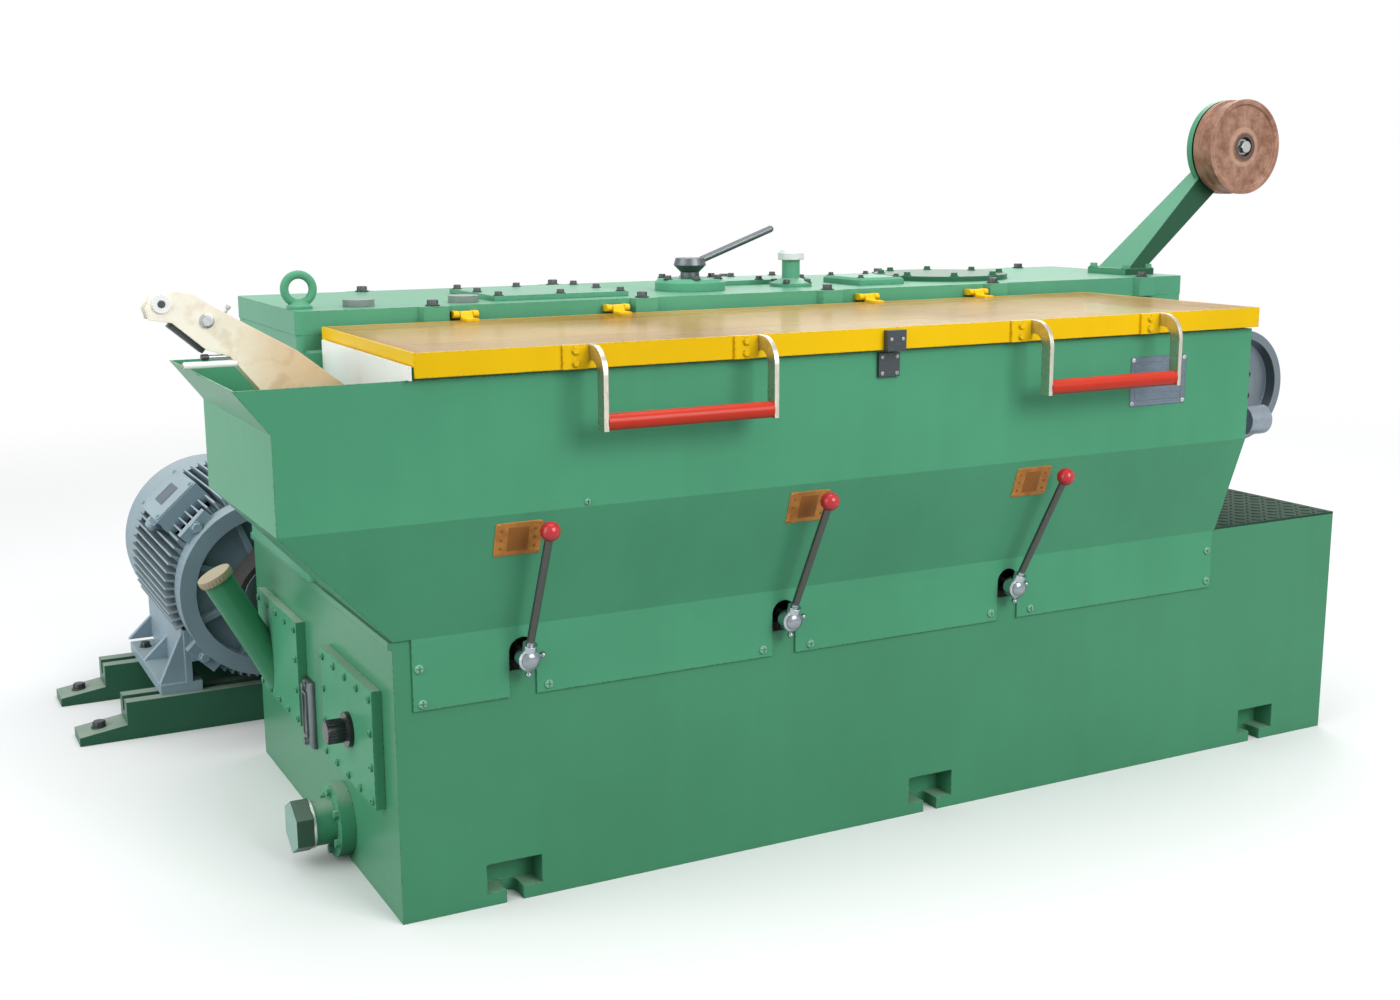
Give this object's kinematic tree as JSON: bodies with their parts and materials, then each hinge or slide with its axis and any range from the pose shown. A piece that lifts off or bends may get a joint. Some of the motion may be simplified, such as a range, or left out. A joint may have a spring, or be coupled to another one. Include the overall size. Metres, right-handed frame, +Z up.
{
  "type": "wire drawing machine",
  "caption": "Multi-die wire drawing machine: box bed, sheet coolant tank with hinged amber lid, gearbox, belt motor on rails, gear levers, exit capstan and guide pulley.",
  "frame": {"origin": "middle of the bed's underside, on the floor", "axes": "+X to the right along the bed, as seen from the lever side; +Y to the back; +Z up"},
  "size_m": [3.392, 2.446, 1.718],
  "materials": {
    "machine_green": "gloss machine enamel",
    "dark_green": "dark machine enamel, worn",
    "lid_yellow": "gloss enamel",
    "amber_window": "tinted clear plastic sheet",
    "red_plastic": "smooth moulded",
    "dark_plastic": "moulded",
    "lever_steel": "turned, bright hub and darkened rod",
    "bright_steel": "machined",
    "dark_steel": "machined and oiled",
    "zinc_plate": "pale plated sheet",
    "white_panel": "off-white",
    "copper_pulley": "mottled copper-brown coating",
    "motor_grey": "grey-blue casting enamel",
    "rubber_belt": "moulded",
    "grey_fitting": "grey paint",
    "beige_cap": "moulded"
  },
  "bodies": {
    "machine": {"bed": "machine_green", "tread_plate": "dark_green", "tank_front": "machine_green", "tank_left_end": "machine_green", "tank_right_end": "machine_green", "tank_back": "machine_green", "tank_partition": "white_panel", "gearbox_case": "machine_green", "gearbox_cover": "machine_green", "inspection_covers": "dark_green", "oil_caps": "grey_fitting", "eye_bolt": "machine_green", "shift_boss": "machine_green", "breather": "dark_green", "lid_hinges": "lid_yellow", "latch_plate": "dark_plastic", "draw_capstans": "copper_pulley", "die_posts": "dark_steel", "wire_guide": "zinc_plate", "guide_rollers": "white_panel", "exit_die_holder": "zinc_plate", "guide_arm": "machine_green", "side_covers": "machine_green", "sight_gauge": "grey_fitting", "drain_plug": "dark_plastic", "coolant_outlet": "machine_green", "coolant_cap": "grey_fitting", "filler_pipe": "machine_green", "filler_cap": "beige_cap", "motor_rails": "dark_green", "motor_end_shield": "motor_grey", "motor_frame": "motor_grey", "motor_feet": "motor_grey", "motor_terminal_box": "motor_grey", "motor_fan_cowl": "motor_grey", "motor_sheave": "dark_steel", "driven_sheave": "dark_steel", "drive_belt": "rubber_belt"},
    "lid": {"lid_frame": "lid_yellow", "lid_window": "amber_window", "handle_legs": "bright_steel", "handle_grips": "red_plastic", "latch_block": "dark_plastic"},
    "lever_1": {"lever_arm_1": "lever_steel", "lever_knob_1": "red_plastic"},
    "lever_2": {"lever_arm_2": "lever_steel", "lever_knob_2": "red_plastic"},
    "lever_3": {"lever_arm_3": "lever_steel", "lever_knob_3": "red_plastic"},
    "shift_lever": {"shift_handle": "dark_steel"},
    "top_pulley": {"guide_pulley": "copper_pulley"},
    "capstan": {"exit_capstan": "dark_steel"}
  },
  "joints": [
    {"name": "lid_hinge", "type": "hinge", "parent": "machine", "child": "lid", "pos_m": [-0.201, -0.052, 1.193], "axis": [-1, 0, 0], "range_deg": [0, 85]},
    {"name": "lever_1_swing", "type": "hinge", "parent": "machine", "child": "lever_1", "pos_m": [-1.038, -0.621, 0.535], "axis": [0, 1, 0], "range_deg": [-22.6, 17.4]},
    {"name": "lever_2_swing", "type": "hinge", "parent": "machine", "child": "lever_2", "pos_m": [-0.414, -0.621, 0.535], "axis": [0, 1, 0], "range_deg": [-27, 13]},
    {"name": "lever_3_swing", "type": "hinge", "parent": "machine", "child": "lever_3", "pos_m": [0.21, -0.621, 0.535], "axis": [0, 1, 0], "range_deg": [-31, 9]},
    {"name": "shift_swing", "type": "hinge", "parent": "machine", "child": "shift_lever", "pos_m": [-0.25391, 0.16, 1.243], "axis": [0, 0, 1], "range_deg": [-40, 40]},
    {"name": "pulley_spin", "type": "hinge", "parent": "machine", "child": "top_pulley", "pos_m": [1.511, 0.03, 1.581], "axis": [0, 1, 0], "continuous": true},
    {"name": "capstan_spin", "type": "hinge", "parent": "machine", "child": "capstan", "pos_m": [1.201, -0.309, 0.927], "axis": [0, 1, 0], "continuous": true}
  ]
}
